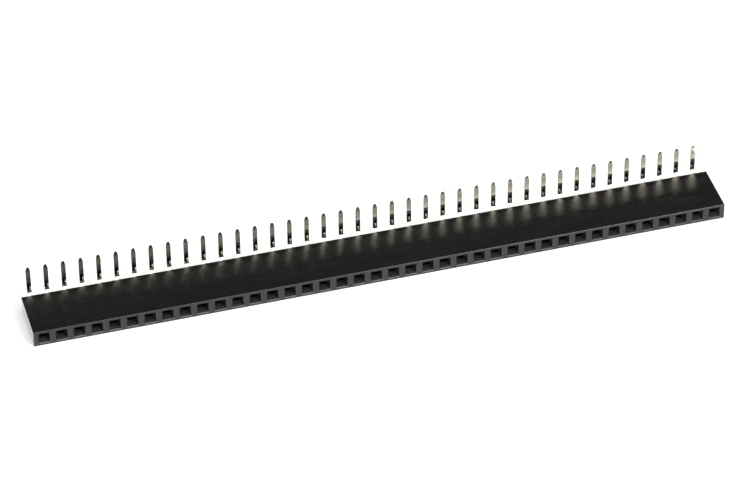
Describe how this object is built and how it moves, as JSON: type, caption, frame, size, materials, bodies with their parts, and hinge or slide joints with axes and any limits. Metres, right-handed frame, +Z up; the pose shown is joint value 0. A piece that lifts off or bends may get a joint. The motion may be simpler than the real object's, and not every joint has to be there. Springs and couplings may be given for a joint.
{
  "type": "right-angle female pin header strip",
  "caption": "Right-angle female pin header strip: a moulded black housing with one row of square sockets, each with a stamped spring contact and a bent solder tail.",
  "frame": {"origin": "middle of the underside of the whole box, on the surface that the strip lies on", "axes": "+X runs along the row of sockets, -Y is the way the sockets open, +Z points up out of the board face, the way the solder tails point"},
  "size_m": [0.102, 0.01, 0.006],
  "materials": {
    "housing_plastic": "black glass-filled moulding, satin on the wide faces",
    "contact_metal": "thin pale gold plating over stamped spring brass, semi-bright"
  },
  "bodies": {
    "root": {"housing": "housing_plastic", "contact_01": "contact_metal", "contact_02": "contact_metal", "contact_03": "contact_metal", "contact_04": "contact_metal", "contact_05": "contact_metal", "contact_06": "contact_metal", "contact_07": "contact_metal", "contact_08": "contact_metal", "contact_09": "contact_metal", "contact_10": "contact_metal", "contact_11": "contact_metal", "contact_12": "contact_metal", "contact_13": "contact_metal", "contact_14": "contact_metal", "contact_15": "contact_metal", "contact_16": "contact_metal", "contact_17": "contact_metal", "contact_18": "contact_metal", "contact_19": "contact_metal", "contact_20": "contact_metal", "contact_21": "contact_metal", "contact_22": "contact_metal", "contact_23": "contact_metal", "contact_24": "contact_metal", "contact_25": "contact_metal", "contact_26": "contact_metal", "contact_27": "contact_metal", "contact_28": "contact_metal", "contact_29": "contact_metal", "contact_30": "contact_metal", "contact_31": "contact_metal", "contact_32": "contact_metal", "contact_33": "contact_metal", "contact_34": "contact_metal", "contact_35": "contact_metal", "contact_36": "contact_metal", "contact_37": "contact_metal", "contact_38": "contact_metal", "contact_39": "contact_metal", "contact_40": "contact_metal"}
  },
  "joints": []
}
